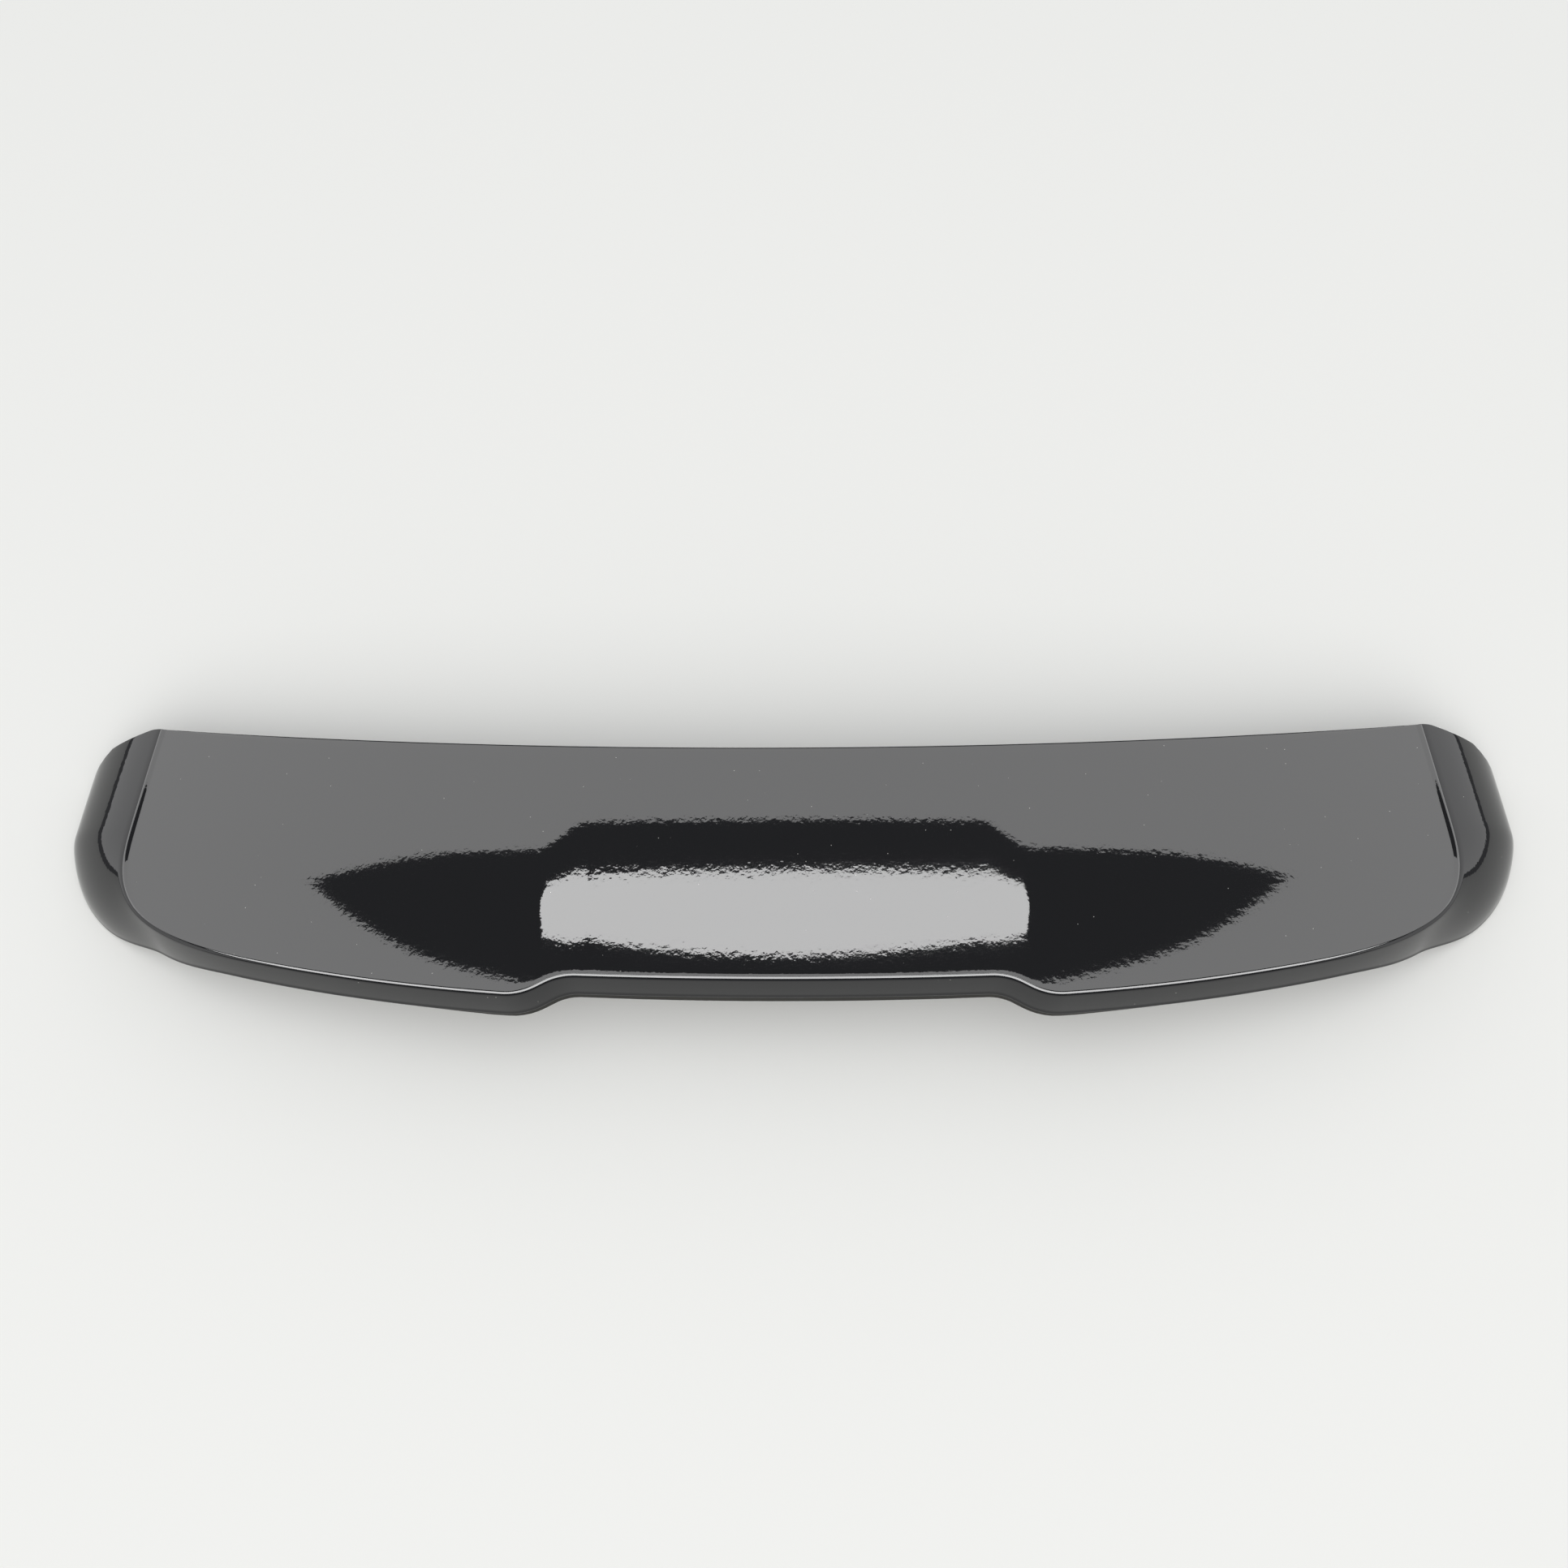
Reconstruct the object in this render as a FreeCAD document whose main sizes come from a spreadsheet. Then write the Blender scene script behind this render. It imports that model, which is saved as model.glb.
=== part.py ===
import FreeCAD, Part
import math
import os
import Sketcher
from FreeCAD import Vector

# Tailgate spoiler: a moulded outer skin bonded to a moulded tray, with studs, seals and clips.
# Frame: X across the car, +Y to the front, +Z up. The origin is the centre of the four main studs,
# on the plane where their bosses seat on the tailgate. Millimetres and degrees.

doc = FreeCAD.newDocument("tailgate_spoiler")
sheet = doc.addObject("Spreadsheet::Sheet", "sizes")

SIZES = [
    # Plan outline of the lip, from the middle of the notch outwards
    ("notch_lip_depth", 126.5, "stud centre back to the lip in the middle of the notch"),
    ("notch_half_width", 155.0, "middle to the start of the notch's shoulder"),
    ("notch_bow_radius", 3550.0, "bow of the lip inside the notch"),
    ("shoulder_radius", 45.0, "both bends of the notch's shoulder"),
    ("shoulder_run", 7.5, "straight between the two bends"),
    ("shoulder_angle", 28.5, "slant of the shoulder"),
    ("lip_start_angle", 4.8, "heading of the lip where the shoulder ends"),
    ("lip_bow_radius", 1500.0, "long bow of the trailing lip"),
    ("lip_bow_angle", 12.6, "heading where the long bow ends"),
    ("lip_turn_radius", 400.0, "quicker bow towards the corner"),
    ("lip_turn_angle", 20.0, "heading where the quicker bow ends"),
    ("corner_lead_radius", 180.0, "first bend of the rear corner"),
    ("corner_lead_angle", 33.0, "heading where the tight corner starts"),
    ("corner_radius", 66.0, "rear corner of the panel"),
    ("side_angle", 97.0, "heading of the panel's side, which leans in to the front"),
    # Leading edge
    ("lead_depth", 63.5, "stud centre forward to the middle of the leading edge"),
    ("lead_radius", 4080.0, "hollow bow of the leading edge"),
    ("flange_depth", 8.0, "turned-down flange of the leading edge"),
    # Panel surface
    ("panel_rise", 42.1, "stud plane up to the panel where its two curves meet"),
    ("kick_start", 75.0, "stud centre back to where the panel starts to rise"),
    ("panel_slope", 2.5, "fall of the panel there, towards the rear"),
    ("front_bend_radius", 2500.0, "crowned front of the panel, seen from the side"),
    ("kick_radius", 750.0, "hollow rear of the panel, seen from the side"),
    ("sweep_radius", 1950.0, "radius of the panel across the car, at the kick"),
    ("sweep_tilt", 24.6, "tilt of that sweep, which gives crown as well as bow"),
    # Skirt and wings
    ("wall", 3.0, "wall of the outer skin"),
    ("skirt_flare", 7.0, "how far the rear skirt leans out"),
    ("skirt_height", 25.0, "height of the rear skirt below the lip"),
    ("wing_flare", 74.0, "how far a wing stands out from the panel's side"),
    ("wing_drop", 62.0, "height of a wing below its ridge"),
    ("wing_roundness", 0.85, "share of the wing's flare that is curved"),
    ("wing_blend", 105.0, "length round the corner in which the skirt becomes a wing"),
    ("wing_front", 98.0, "stud centre forward to a wing's front edge at the panel"),
    ("wing_rake", 12.0, "lean of a wing's front edge"),
    ("wing_toe_radius", 40.0, "rounded lower front corner of a wing"),
    ("wing_floor", 45.0, "stud plane down to the wings' lower edges"),
    ("ridge_height", 2.5, "step from the panel up to a wing"),
    ("ridge_width", 4.5, "width of that step's ramp"),
    ("skirt_arch_half", 420.0, "half width of the even part of the skirt's lower edge"),
    ("skirt_arch_drop", 19.0, "fall of the lower edge over that half width"),
    ("wing_edge_bend", 160.0, "bend of the lower edge towards a wing"),
    ("wing_edge_angle", 20.0, "fall of the lower edge below a corner"),
    # Tray
    ("shell_gap", 0.3, "room between the skin's skirt and the tray"),
    ("tray_wall", 2.5, "wall of the tray and its ribs"),
    ("tray_half_width", 455.0, "middle to the tray's end wall"),
    ("tray_setback", 14.0, "leading edge back to the tray's front wall"),
    ("tray_floor", 4.0, "stud plane up to the tray's underside in the middle"),
    ("tray_arch_drop", 9.5, "fall of the tray's underside at the skirt's arch half width"),
    ("bead_height", 2.0, "adhesive between tray and panel"),
    ("rib_spacing", 110.0, "distance between neighbouring ribs"),
    ("rib_pairs", 3, "ribs on each side of the middle"),
    # Studs and seals
    ("stud_spacing_x", 380.0, "main studs, across"),
    ("stud_spacing_y", 56.0, "main studs, front to back"),
    ("outer_stud_spacing", 780.0, "outer studs, across"),
    ("outer_stud_forward", 24.0, "outer studs, forward of the origin"),
    ("outer_seat_drop", 8.0, "main stud plane down to the outer studs' seats"),
    ("stud_radius", 3.0, "stud thread"),
    ("stud_reach", 22.0, "stud below its seat"),
    ("stud_neck_radius", 3.3, "plain neck of a stud above the thread"),
    ("stud_clearance", 0.2, "room round a stud's neck in its boss"),
    ("stud_flange_radius", 8.0, "flange of a stud's head"),
    ("stud_flange_height", 1.6, "thickness of that flange"),
    ("stud_hex_radius", 5.8, "corner radius of the hexagon head"),
    ("stud_hex_height", 4.4, "height of the hexagon head"),
    ("boss_radius", 12.0, "boss round a stud"),
    ("boss_height", 15.0, "boss from its seat to the stud's head"),
    ("seal_radius", 8.0, "foam seal round a stud"),
    ("seal_bore_radius", 3.6, "bore of that seal"),
    ("seal_height", 2.0, "thickness of that seal, pressed into its recess"),
    ("seal_recess", 2.25, "depth of the seal's recess in the boss"),
    ("seal_clearance", 0.3, "room round the seal in its recess"),
    # Locating pegs
    ("peg_spacing", 560.0, "pegs, across"),
    ("peg_radius", 4.0, "peg"),
    ("peg_reach", 14.0, "peg below the stud plane"),
    ("peg_point", 3.0, "tapered end of a peg"),
    ("peg_relief", 1.5, "narrow foot of a peg below the stud plane"),
    ("peg_foot_radius", 3.4, "foot of a peg"),
    # Clips in the wings
    ("tongue_spacing", 968.0, "tongues, across"),
    ("tongue_pitch", 62.0, "tongues, front to back"),
    ("tongue_forward", 18.0, "middle of the tongues, forward of the origin"),
    ("tongue_width", 16.0, "tongue, front to back"),
    ("tongue_thickness", 2.4, "tongue, across"),
    ("tongue_reach", 16.0, "stud plane down to a tongue's end"),
    ("clip_width", 12.0, "clip, front to back"),
    ("clip_sheet", 0.8, "sheet of a clip"),
    ("clip_height", 17.0, "height of a clip"),
    ("clip_barb", 5.0, "reach of a clip's barbs"),
    ("clip_clearance", 0.3, "room between a clip and its tongue"),
    # Seal under the leading edge and pads in the wings
    ("strip_width", 7.0, "front seal, front to back"),
    ("strip_height", 10.0, "front seal"),
    ("strip_gap", 1.0, "room between the flange and the front seal"),
    ("strip_half_width", 470.0, "half length of the front seal"),
    ("pad_thickness", 1.5, "felt pad"),
    ("pad_top", 22.0, "stud plane down to a pad's top"),
    ("pad_bottom", 38.0, "stud plane down to a pad's foot"),
    ("pad_rear", 12.0, "stud centre forward to a pad's rear end"),
    ("pad_front", 64.0, "stud centre forward to a pad's front end"),
]
for row, (name, value, words) in enumerate(SIZES, start=1):
    sheet.set("A%d" % row, name)
    sheet.set("B%d" % row, str(value))
    sheet.set("C%d" % row, words)
    sheet.setAlias("B%d" % row, name)
doc.recompute()


def size(name):
    return float(sheet.get(name))


def smooth(low, high, value):
    share = min(max((value - low) / (high - low), 0.0), 1.0)
    return share * share * (3.0 - 2.0 * share)


# Plan outline of the lip: tangent arcs that each turn to a heading
FRONT = 140.0


def bend(point, heading, end_heading, radius):
    """End of an arc that leaves a point on one heading and turns to another."""
    signed = math.copysign(radius, end_heading - heading)
    first = math.radians(heading)
    last = math.radians(end_heading)
    return (
        point[0] + signed * (math.sin(last) - math.sin(first)),
        point[1] + signed * (math.cos(first) - math.cos(last)),
    )


def lip_half():
    """Right half of the lip as (x, y, heading, wing share), from the notch's middle to the line y = FRONT."""
    notch_angle = math.degrees(math.asin(size("notch_half_width") / size("notch_bow_radius")))
    arcs = [
        (size("notch_bow_radius"), notch_angle, 6),
        (size("shoulder_radius"), -size("shoulder_angle"), 5),
        (None, -size("shoulder_angle"), 1),
        (size("shoulder_radius"), size("lip_start_angle"), 5),
        (size("lip_bow_radius"), size("lip_bow_angle"), 6),
        (size("lip_turn_radius"), size("lip_turn_angle"), 4),
        (size("corner_lead_radius"), size("corner_lead_angle"), 4),
        (size("corner_radius"), size("side_angle"), 10),
    ]
    point = (0.0, -size("notch_lip_depth"))
    heading = 0.0
    path = [(point[0], point[1], heading)]
    for radius, end_heading, steps in arcs:
        for step in range(1, steps + 1):
            turned = heading + (end_heading - heading) * step / steps
            if radius is None:
                run = size("shoulder_run") * step / steps
                angle = math.radians(heading)
                reached = (point[0] + run * math.cos(angle), point[1] + run * math.sin(angle))
            else:
                reached = bend(point, heading, turned, radius)
            path.append((reached[0], reached[1], turned))
        point = reached
        heading = end_heading
    side_steps = 8
    lean = 1.0 / math.tan(math.radians(heading))
    for step in range(1, side_steps + 1):
        rise = (FRONT - point[1]) * step / side_steps
        path.append((point[0] + rise * lean, point[1] + rise, heading))
    stations = []
    wing_run = 0.0
    previous = path[0]
    for x, y, heading in path:
        if heading > size("corner_lead_angle"):
            wing_run += math.hypot(x - previous[0], y - previous[1])
        stations.append((x, y, heading, smooth(0.0, size("wing_blend"), wing_run)))
        previous = (x, y, heading)
    return stations


STATIONS = lip_half()

# Panel surface: two arcs seen from the side, swept round a far axis that leans forward
kick_y = -size("kick_start")
kick_z = size("panel_rise")
slope = math.radians(size("panel_slope"))
tilt = math.radians(size("sweep_tilt"))
inward = (math.cos(tilt), -math.sin(tilt))
upward = (math.sin(tilt), math.cos(tilt))
front_centre = (
    kick_y + size("front_bend_radius") * math.sin(slope),
    kick_z - size("front_bend_radius") * math.cos(slope),
)
rear_centre = (
    kick_y - size("kick_radius") * math.sin(slope),
    kick_z + size("kick_radius") * math.cos(slope),
)


def profile_height(y):
    if y > kick_y:
        return front_centre[1] + math.sqrt(size("front_bend_radius") ** 2 - (y - front_centre[0]) ** 2)
    return rear_centre[1] - math.sqrt(size("kick_radius") ** 2 - (y - rear_centre[0]) ** 2)


def panel_height(x, y):
    """Height of the panel over a plan point, found by turning the point round the axis to the middle."""
    z = kick_z
    for _ in range(12):
        up = (y - kick_y) * upward[0] + (z - kick_z) * upward[1]
        toward = (y - kick_y) * inward[0] + (z - kick_z) * inward[1]
        toward = size("sweep_radius") - math.hypot(x, size("sweep_radius") - toward)
        middle_y = kick_y + up * upward[0] + toward * inward[0]
        middle_z = kick_z + up * upward[1] + toward * inward[1]
        z += profile_height(middle_y) - middle_z
    return z


# Smooth surfaces and the solids they close
def run_shares(points):
    """Share of a row's length at each of its points, from 0 to 1."""
    lengths = [0.0]
    for first, last in zip(points, points[1:]):
        lengths.append(lengths[-1] + first.distanceToPoint(last))
    return [length / lengths[-1] for length in lengths]


def curve_through(points, shares):
    curve = Part.BSplineCurve()
    curve.interpolate(Points=points, Parameters=shares)
    return curve


def smooth_surface(rows):
    """One surface through rows of points of equal count; level rows stay level, straight ends straight."""
    along = run_shares(rows[len(rows) // 2])
    down = run_shares([row[len(row) // 2] for row in rows])
    row_curves = [curve_through(row, along) for row in rows]
    columns = []
    for number in range(1, row_curves[0].NbPoles + 1):
        columns.append(curve_through([curve.getPole(number) for curve in row_curves], down))
    surface = Part.BSplineSurface()
    surface.buildFromPolesMultsKnots(
        [column.getPoles() for column in columns],
        row_curves[0].getMultiplicities(),
        columns[0].getMultiplicities(),
        row_curves[0].getKnots(),
        columns[0].getKnots(),
        False,
        False,
        row_curves[0].Degree,
        columns[0].Degree,
    )
    return surface.toShape()


def closed_solid(faces):
    shell = Part.Shell(faces)
    shell.sewShape()
    solid = Part.Solid(shell)
    if solid.Volume < 0:
        shell.reverse()
        solid = Part.Solid(shell)
    return solid


def face_of(edges):
    return Part.Face(Part.Wire(Part.__sortEdges__(edges)))


def block_with_side(rows):
    """Solid with a smooth side through the rows, a level top and bottom, and a flat front."""
    side = smooth_surface(rows)
    level_edges = []
    front_edges = []
    for edge in side.Edges:
        if edge.BoundBox.YLength < 1e-3:
            front_edges.append(edge)
        else:
            level_edges.append(edge)
    faces = [side]
    for edge in level_edges:
        chord = Part.makeLine(edge.Vertexes[0].Point, edge.Vertexes[-1].Point)
        faces.append(face_of([edge, chord]))
        front_edges.append(chord)
    faces.append(face_of(front_edges))
    return closed_solid(faces)


HALF_SPAN = 660.0
REAR = -210.0
BASEMENT = -120.0


def block_under(lowering):
    """Everything under the panel, or under a surface that lies a depth below it."""
    steps_across = 16
    steps_along = 10
    rows = []
    for along_step in range(steps_along + 1):
        y = REAR + (FRONT + 20.0 - REAR) * along_step / steps_along
        row = []
        for across_step in range(steps_across + 1):
            x = HALF_SPAN * (2.0 * across_step / steps_across - 1.0)
            row.append(Vector(x, y, panel_height(x, y) - lowering))
        rows.append(row)
    top = smooth_surface(rows)
    faces = [top]
    floor_edges = []
    for edge in top.Edges:
        first = edge.Vertexes[0].Point
        last = edge.Vertexes[-1].Point
        first_foot = Vector(first.x, first.y, BASEMENT)
        last_foot = Vector(last.x, last.y, BASEMENT)
        foot = Part.makeLine(first_foot, last_foot)
        floor_edges.append(foot)
        faces.append(face_of([edge, Part.makeLine(first, first_foot), foot, Part.makeLine(last, last_foot)]))
    faces.append(face_of(floor_edges))
    return closed_solid(faces)


# Skirt and wings: how far the skin stands out of the lip at a depth below the lip or ridge
BLOCK_TOP = 78.0
BLOCK_BOTTOM = -64.0
HOOD = 8.0
ROUND_DEPTH = 70.0


def flare(depth, share):
    """Flare and its steepness: a lean with a little roll at the rear, a strong roll at the wings."""
    rear_lean = 1.2 * size("skirt_flare") / size("skirt_height")
    rear_roll = 0.2 * size("skirt_flare") / size("skirt_height") ** 2
    wing_lean = (1.0 + size("wing_roundness")) * size("wing_flare") / size("wing_drop")
    wing_roll = size("wing_roundness") * size("wing_flare") / size("wing_drop") ** 2
    lean = rear_lean + share * (wing_lean - rear_lean)
    roll = rear_roll + share * (wing_roll - rear_roll)
    if depth < 0:
        return lean * depth, lean
    return lean * depth - roll * depth ** 2, lean - 2.0 * roll * depth


def skin_offset(depth, share, inset):
    out, steepness = flare(depth, share)
    return out - inset * math.hypot(1.0, steepness)


def moved_out(station, offset, z):
    """A lip station moved straight out; the last ones slide along the line y = FRONT."""
    x, y, heading, _ = station
    angle = math.radians(heading)
    if y > FRONT - 1e-6:
        return Vector(x + offset / math.sin(angle), FRONT, z)
    return Vector(x + offset * math.sin(angle), y - offset * math.cos(angle), z)


def both_sides(points):
    return [Vector(-point.x, point.y, point.z) for point in reversed(points[1:])] + points


def ridge_of(station):
    return panel_height(station[0], station[1]) + station[3] * size("ridge_height")


def skin_block(inset):
    """Block inside the skin's outer surface, or inside a surface a depth within it."""
    rows = []
    depths = [None, -HOOD, -2.0, 3.0, 10.0, 20.0, 32.0, 46.0, 58.0, None]
    for number, depth in enumerate(depths):
        points = []
        for station in STATIONS:
            if depth is not None:
                z = ridge_of(station) - depth
                offset = skin_offset(depth, station[3], inset)
            elif number == 0:
                z = BLOCK_TOP
                offset = skin_offset(-HOOD, station[3], inset) - 2.0
            else:
                z = BLOCK_BOTTOM
                offset = skin_offset(min(ridge_of(station) - z, ROUND_DEPTH), station[3], inset)
            points.append(moved_out(station, offset, z))
        rows.append(both_sides(points))
    return block_with_side(rows)


def recess_block():
    """Space over the panel: it runs out beyond the lip at the rear and stops at the ramp at the sides."""
    beyond = 12.0
    height = size("ridge_height")
    width = size("ridge_width")
    levels = [(None, 5.0 * width), (4.0 * height, 3.0 * width), (height, 0.0), (0.0, -width),
              (-height, -2.0 * width), (-4.0 * height, -3.0 * width), (None, -3.0 * width)]
    rows = []
    for number, (rise, side_offset) in enumerate(levels):
        points = []
        for station in STATIONS:
            offset = beyond * (1.0 - station[3]) + side_offset * station[3]
            if rise is not None:
                z = panel_height(station[0], station[1]) + rise
            else:
                z = BLOCK_TOP + 5.0 if number == 0 else -25.0
            points.append(moved_out(station, offset, z))
        rows.append(both_sides(points))
    return block_with_side(rows)


# Flat-sided tools that trim the forms
def lead_y(x, setback):
    return size("lead_depth") - setback + x * x / (2.0 * size("lead_radius"))


def ahead_of_lead(setback):
    """Everything ahead of the leading edge, or of a line a setback behind it."""
    ends = [Vector(side * HALF_SPAN, lead_y(HALF_SPAN, setback), BASEMENT) for side in (-1, 1)]
    arc = Part.Arc(ends[0], Vector(0, lead_y(0, setback), BASEMENT), ends[1]).toShape()
    far = [Vector(end.x, 2.0 * FRONT, BASEMENT) for end in ends]
    edges = [arc, Part.makeLine(ends[1], far[1]), Part.makeLine(far[1], far[0]), Part.makeLine(far[0], ends[0])]
    return face_of(edges).extrude(Vector(0, 0, 2.5 * BLOCK_TOP - BASEMENT))


def ahead_of_wings():
    """Everything ahead of the wings' raked front edges, with the toes rounded."""
    top = Vector(0, size("wing_front"), BLOCK_TOP)
    rake = math.radians(size("wing_rake"))
    ridge_z = ridge_of(STATIONS[-1])
    top.y += (BLOCK_TOP - ridge_z) * math.tan(rake)
    toe_z = -size("wing_floor")
    toe_y = size("wing_front") - (ridge_z - toe_z) * math.tan(rake)
    radius = size("wing_toe_radius")
    corner_run = radius / math.tan(math.radians(45.0) + rake / 2.0)
    upper = Vector(0, toe_y + corner_run * math.sin(rake), toe_z + corner_run * math.cos(rake))
    lower = Vector(0, toe_y - corner_run, toe_z)
    centre = Vector(0, lower.y, toe_z + radius)
    between = (upper - centre) + (lower - centre)
    between.normalize()
    middle = centre + between * radius
    far_low = Vector(0, lower.y, BASEMENT)
    far_front = Vector(0, 2.0 * FRONT, BASEMENT)
    far_top = Vector(0, 2.0 * FRONT, BLOCK_TOP)
    edges = [
        Part.makeLine(top, upper),
        Part.Arc(upper, middle, lower).toShape(),
        Part.makeLine(lower, far_low),
        Part.makeLine(far_low, far_front),
        Part.makeLine(far_front, far_top),
        Part.makeLine(far_top, top),
    ]
    tool = face_of(edges)
    tool.translate(Vector(-HALF_SPAN, 0, 0))
    return tool.extrude(Vector(2.0 * HALF_SPAN, 0, 0))


def arch_radius(half, drop):
    return (half * half + drop * drop) / (2.0 * drop)


def below_arch(crown_z, half, drop):
    """Everything below an arch across the car that bends down to the wings and ends on their floor."""
    radius = arch_radius(half, drop)
    start_angle = -math.degrees(math.asin(half / radius))
    fall = -size("wing_edge_angle")
    bent = bend((half, crown_z - drop), start_angle, fall, size("wing_edge_bend"))
    middle = bend((half, crown_z - drop), start_angle, (start_angle + fall) / 2.0, size("wing_edge_bend"))
    floor = -size("wing_floor")
    run = (bent[1] - floor) / math.tan(-math.radians(fall))
    right = [(half, crown_z - drop), middle, bent, (bent[0] + run, floor), (HALF_SPAN, floor), (HALF_SPAN, BASEMENT)]
    points = [Vector(x, REAR, z) for x, z in right]
    mirror = [Vector(-point.x, point.y, point.z) for point in points]
    edges = [
        Part.Arc(mirror[0], Vector(0, REAR, crown_z), points[0]).toShape(),
        Part.makeLine(points[-1], mirror[-1]),
    ]
    for side in (points, mirror):
        edges.append(Part.Arc(side[0], side[1], side[2]).toShape())
        for first, last in zip(side[2:], side[3:]):
            edges.append(Part.makeLine(first, last))
    return face_of(edges).extrude(Vector(0, 3.0 * FRONT - REAR, 0))


def box(x_low, x_high, y_low, y_high, z_low, z_high):
    return Part.makeBox(x_high - x_low, y_high - y_low, z_high - z_low, Vector(x_low, y_low, z_low))


def part_feature(label, shape):
    feature = doc.addObject("Part::Feature", label)
    feature.Shape = shape
    feature.Label = label
    return feature


# Outer skin
under_panel = block_under(0.0)
under_skin = block_under(size("wall"))
outer_form = skin_block(0.0).cut(recess_block().cut(under_panel))
lip_centre_z = panel_height(0.0, -size("notch_lip_depth"))
skirt_crown = lip_centre_z - size("skirt_height")
skirt_arch = below_arch(skirt_crown, size("skirt_arch_half"), size("skirt_arch_drop"))
trims = [ahead_of_lead(0.0), ahead_of_wings(), skirt_arch]
outer_form = outer_form.cut(trims)
hollow = skin_block(size("wall")).common(under_skin)
flange = ahead_of_lead(size("wall")).cut(block_under(size("flange_depth")))
flange = flange.common(box(-size("strip_half_width"), size("strip_half_width"), REAR, FRONT, BASEMENT, BLOCK_TOP))
skin_form = outer_form.cut(hollow.cut(flange))


def span(low, high):
    """Full-height slice of the space between two planes across the car."""
    return box(low, high, REAR, FRONT, BASEMENT, BLOCK_TOP)


def moved(shape, place):
    copy = shape.copy()
    copy.translate(place)
    return copy


def group_at(label, shape, places):
    return part_feature(label, Part.makeCompound([moved(shape, place) for place in places]))


# Tongues under the panel's ends carry the clips
tongue_places = []
for side in (-1, 1):
    for step in (-0.5, 0.5):
        tongue_y = size("tongue_forward") + step * size("tongue_pitch")
        tongue_places.append(Vector(side * size("tongue_spacing") / 2.0, tongue_y, -size("tongue_reach")))
tongue = box(
    -size("tongue_thickness") / 2.0,
    size("tongue_thickness") / 2.0,
    -size("tongue_width") / 2.0,
    size("tongue_width") / 2.0,
    0.0,
    BLOCK_TOP,
)
half_wall = block_under(size("wall") / 2.0)
tongues = [moved(tongue, place).common(half_wall) for place in tongue_places]
upper_shell = part_feature("upper_shell", skin_form.fuse(tongues).removeSplitter())


# Tray: an open box under the panel whose rear rim shows below the skirt
def tray_region(inset, margin):
    """Inside of the tray's outer surface, or of a surface a margin within it, open at the top."""
    half = size("tray_half_width") - margin
    region = skin_block(inset + margin).common(span(-half, half))
    arch = below_arch(size("tray_floor") + margin, size("skirt_arch_half"), size("tray_arch_drop"))
    return region.cut([ahead_of_lead(size("tray_setback") + margin), arch])


tray_inset = size("wall") + size("shell_gap")
tray_space = tray_region(tray_inset, 0.0)
tray_walls = tray_space.cut(tray_region(tray_inset, size("tray_wall")))
ribs = []
for number in range(1, int(size("rib_pairs")) + 1):
    for side in (-1, 1):
        rib_x = side * number * size("rib_spacing")
        ribs.append(tray_space.common(span(rib_x - size("tray_wall") / 2.0, rib_x + size("tray_wall") / 2.0)))
tray_walls = tray_walls.fuse(ribs)
under_bead = block_under(size("wall") + size("bead_height"))
bond_bead = part_feature("bond_bead", tray_walls.common(under_skin).cut(under_bead))

main_seats = []
for side in (-1, 1):
    for end in (-1, 1):
        main_seats.append(Vector(side * size("stud_spacing_x") / 2.0, end * size("stud_spacing_y") / 2.0, 0.0))
outer_seats = []
for side in (-1, 1):
    outer_x = side * size("outer_stud_spacing") / 2.0
    outer_seats.append(Vector(outer_x, size("outer_stud_forward"), -size("outer_seat_drop")))
seats = main_seats + outer_seats
boss = Part.makeCylinder(size("boss_radius"), size("boss_height"))
stud_bore = Part.makeCylinder(size("stud_neck_radius") + size("stud_clearance"), size("boss_height"))
seal_bore = Part.makeCylinder(size("seal_radius") + size("seal_clearance"), size("seal_recess"))
peg_shank = Part.makeCylinder(
    size("peg_radius"),
    size("peg_reach") - size("peg_point") - size("peg_relief"),
    Vector(0, 0, size("peg_point") - size("peg_reach")),
)
peg_tip = Part.makeCone(
    size("peg_radius") / 2.0,
    size("peg_radius"),
    size("peg_point"),
    Vector(0, 0, -size("peg_reach")),
)
peg_foot = Part.makeCylinder(
    size("peg_foot_radius"),
    size("peg_relief") + size("tray_floor"),
    Vector(0, 0, -size("peg_relief")),
)
peg = peg_shank.fuse([peg_tip, peg_foot])
pegs = [moved(peg, Vector(side * size("peg_spacing") / 2.0, 0, 0)) for side in (-1, 1)]
tray = tray_walls.common(under_bead).fuse([moved(boss, seat) for seat in seats] + pegs)
tray = tray.cut([moved(bore, seat) for bore in (stud_bore, seal_bore) for seat in seats])
lower_shell = part_feature("lower_shell", tray.removeSplitter())

# Studs: hexagon, flange, neck and thread, pushed down through the bosses
thread = doc.addObject("Part::Cylinder", "stud_thread")
thread.setExpression("Radius", "sizes.stud_radius")
thread.setExpression("Height", "sizes.stud_reach")
thread.setExpression("Placement.Base.z", "-sizes.stud_reach")
neck = doc.addObject("Part::Cylinder", "stud_neck")
neck.setExpression("Radius", "sizes.stud_neck_radius")
neck.setExpression("Height", "sizes.boss_height")
stud_flange = doc.addObject("Part::Cylinder", "stud_flange")
stud_flange.setExpression("Radius", "sizes.stud_flange_radius")
stud_flange.setExpression("Height", "sizes.stud_flange_height")
stud_flange.setExpression("Placement.Base.z", "sizes.boss_height")
hexagon = doc.addObject("Part::Prism", "stud_hexagon")
hexagon.Polygon = 6
hexagon.setExpression("Circumradius", "sizes.stud_hex_radius")
hexagon.setExpression("Height", "sizes.stud_hex_height")
hexagon.setExpression("Placement.Base.z", "sizes.boss_height + sizes.stud_flange_height")
stud = doc.addObject("Part::MultiFuse", "stud")
stud.Shapes = [thread, neck, stud_flange, hexagon]
doc.recompute()
mounting_studs = group_at("mounting_studs", stud.Shape, seats)

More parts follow.
